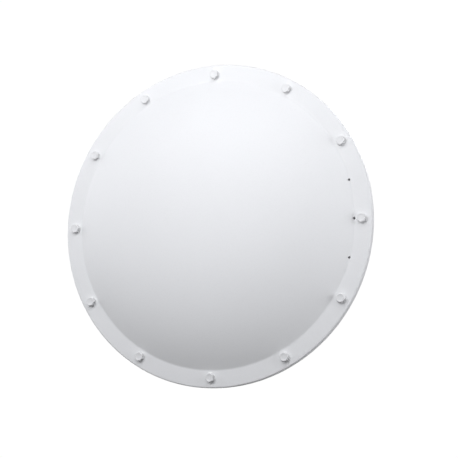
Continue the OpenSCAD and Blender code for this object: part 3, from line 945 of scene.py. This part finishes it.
def welds():
    """Beads where the plates of the three brackets meet."""
    x, y, z = range(3)
    low, high = 0, 1
    plate = 6                       # thickness of the yoke's and the pole bracket's plates
    ears, bars = box_mm("bracket_ears"), box_mm("push_bars")
    ear_in = ears[high][x] - 5      # the ears are 5 mm thick
    bar_y, bar_z = bars[high][y], bars[high][z]
    weld_set("bracket_welds", "dish",
             both_ways("x", [along_z(ear_in, ears[low][y], -45, 45, 1, 3.5)])
             + both_ways("xz", [along_z(ear_in, bar_y, bar_z - 15, bar_z - 1, 1, 2.5)]), 31)
    web, cheeks, arms = box_mm("yoke_web"), box_mm("yoke_cheeks"), box_mm("yoke_arms")
    weld_set("yoke_welds", "yoke",
             both_ways("x", [along_z(cheeks[high][x] - plate, web[low][y], -64, 64, -1, 3.0)])
             + both_ways("z", [along_x(56, web[high][y], arms[high][z] - plate, -1, 1, 2.3)]), 32)
    web, arms = box_mm("pole_web"), box_mm("pole_arms")
    weld_set("pole_welds", "pole_mount",
             both_ways("z", [along_x(54, web[low][y], arms[high][z] - plate, -1, -1, 3.2),
                             along_x(54, web[low][y], arms[high][z], 1, -1, 3.2)]), 33)


welds()


# ---- CAD nodes that keep their shape ----

BEVEL = {                           # width in mm
    "hub_plate": 0.6, "bracket_base": 0.8, "bracket_ears": 0.8, "push_bars": 0.8,
    "yoke_web": 0.8, "yoke_cheeks": 0.8, "yoke_arms": 0.8, "pole_web": 0.8, "pole_arms": 0.8,
    "pole_saddles": 1.2, "rear_jaws": 1.2, "clamp_ring": 0.5, "transducer_body": 1.0,
    "transducer_cover": 0.8, "feed_flange": 0.4, "feed_tube": 0.3, "subreflector": 0.3,
    "radome_gasket": 0.2}
CLEARANCE = {"feed_flange": 0.02}   # mm it is drawn in by, as it turns on the hub plate's face
PAINTED = ("transducer_body", "transducer_cover")


def soften(obj, node):
    """Merge a CAD node's flat faces and bevel its edges, as modifiers."""
    obj.modifiers.new("weld", "WELD").merge_threshold = 2e-6
    if node in CLEARANCE:
        hair = obj.modifiers.new("clearance", "DISPLACE")
        hair.mid_level = 0
        hair.strength = -CLEARANCE[node] * MM
    flat = obj.modifiers.new("flat_faces", "DECIMATE")
    flat.decimate_type = "DISSOLVE"
    flat.angle_limit = math.radians(0.5)
    bevel = obj.modifiers.new("bevel", "BEVEL")
    bevel.width = BEVEL[node] * MM
    bevel.segments = 2
    bevel.limit_method = "ANGLE"
    bevel.angle_limit = math.radians(50)
    bevel.harden_normals = False
    bevel.use_clamp_overlap = True


for node, obj in frame["nodes"].items():
    if node in REPLACED:
        continue
    obj.data.materials.clear()
    obj.data.materials.append(HOUSING if node in PAINTED else MATERIALS[SLOT_OF[node]])
    if node in BEVEL:
        soften(obj, node)


# ---- floor and light ----

COOL = (0.964, 0.971, 1.0)
DOME = (0, -0.43, 0)


def floor():
    """Pale paper that glows a little, and throws no light up at the object."""
    size_x, front, back, z = 5.0, -5.4, 4.6, -1.15
    mesh = bpy.data.meshes.new("floor")
    mesh.from_pydata([(-size_x, front, z), (size_x, front, z),
                      (size_x, back, z), (-size_x, back, z)], [], [(0, 1, 2, 3)])
    m = Nodes("floor_paper")
    tone = m.grey_ramp(m.noise(3.0, 3.0), 0.3, 0.7, 0.78, 0.80)
    obj = add_object("floor", mesh, m.finish(tone, 0.9))
    m.bsdf.inputs["Emission Color"].default_value = (1, 1, 1, 1)
    m.bsdf.inputs["Emission Strength"].default_value = 0.72
    obj.visible_diffuse = False


def area(name, spot, target, size, power):
    """A square soft light, unseen by the camera. Sizes in metres, power in watts."""
    data = bpy.data.lights.new(name, "AREA")
    data.size = size
    data.energy = power
    data.color = COOL
    obj = bpy.data.objects.new(name, data)
    bpy.context.scene.collection.objects.link(obj)
    obj.location = spot
    away = Vector(target) - Vector(spot)
    obj.rotation_euler = away.to_track_quat("-Z", "Y").to_euler()
    obj.visible_camera = False


def world():
    """White to the camera, dimmer to reflections, and little of its own light."""
    w = bpy.data.worlds.new("world")
    bpy.context.scene.world = w
    w.use_nodes = True
    tree = w.node_tree
    tree.nodes.clear()
    out = tree.nodes.new("ShaderNodeOutputWorld")
    path = tree.nodes.new("ShaderNodeLightPath")
    last = None
    for ray, colour, strength in ((None, COOL, 0.05),
                                  ("Is Glossy Ray", COOL, 0.5),
                                  ("Is Camera Ray", (1, 1, 1), 1.02)):
        back = tree.nodes.new("ShaderNodeBackground")
        back.inputs["Color"].default_value = (*colour, 1)
        back.inputs["Strength"].default_value = strength
        if ray is None:
            last = back
            continue
        mix = tree.nodes.new("ShaderNodeMixShader")
        tree.links.new(path.outputs[ray], mix.inputs["Fac"])
        tree.links.new(last.outputs[0], mix.inputs[1])
        tree.links.new(back.outputs[0], mix.inputs[2])
        last = mix
    tree.links.new(last.outputs[0], out.inputs["Surface"])


floor()
world()
area("front", (-0.5, -2.0, 0.5), DOME, 1.2, 15.8)
area("near", (0.0, -1.2, 0.5), DOME, 0.7, 3.2)
area("top", (0.5, -1.2, 1.5), DOME, 1.2, 7.6)
area("left", (-1.3, -0.6, 0.3), DOME, 0.9, 4.3)
area("right", (1.3, -0.6, 0.0), DOME, 0.9, 7.7)
area("behind", (0.6, 1.9, 1.7), (0, 0.0, 0.0), 1.6, 60)
bpy.context.scene.view_settings.view_transform = "Standard"
